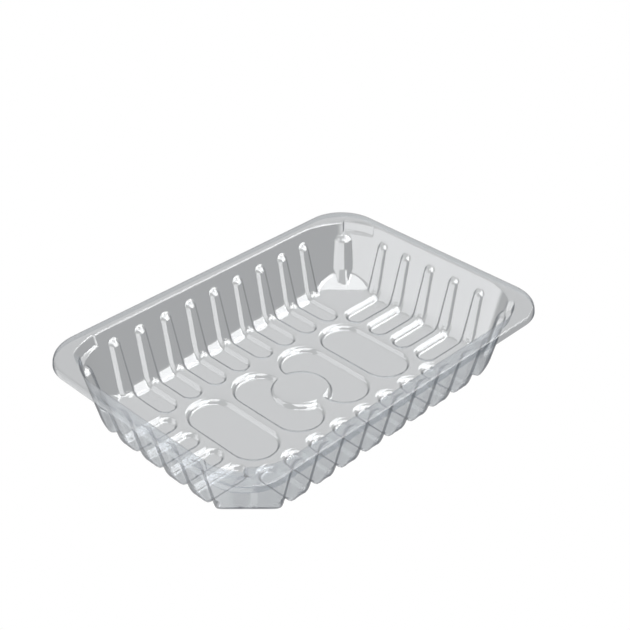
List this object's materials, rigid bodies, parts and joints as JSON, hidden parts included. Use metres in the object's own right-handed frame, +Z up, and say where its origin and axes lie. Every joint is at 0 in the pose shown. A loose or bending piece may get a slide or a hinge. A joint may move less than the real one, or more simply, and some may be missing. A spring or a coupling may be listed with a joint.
{
  "type": "clear plastic food tray",
  "caption": "Empty clear thermoformed food tray with a flat rounded rim, ribbed drafted walls, corner facets and sunken floor pads.",
  "frame": {"origin": "centre of the bounding box's bottom, on the surface the tray stands on", "axes": "+X along the tray's length, +Y across it, +Z up out of the open top"},
  "size_m": [0.23, 0.1616, 0.043],
  "materials": {
    "clear_plastic": "clear, glossy"
  },
  "bodies": {
    "root": {"tray": "clear_plastic"}
  },
  "joints": []
}
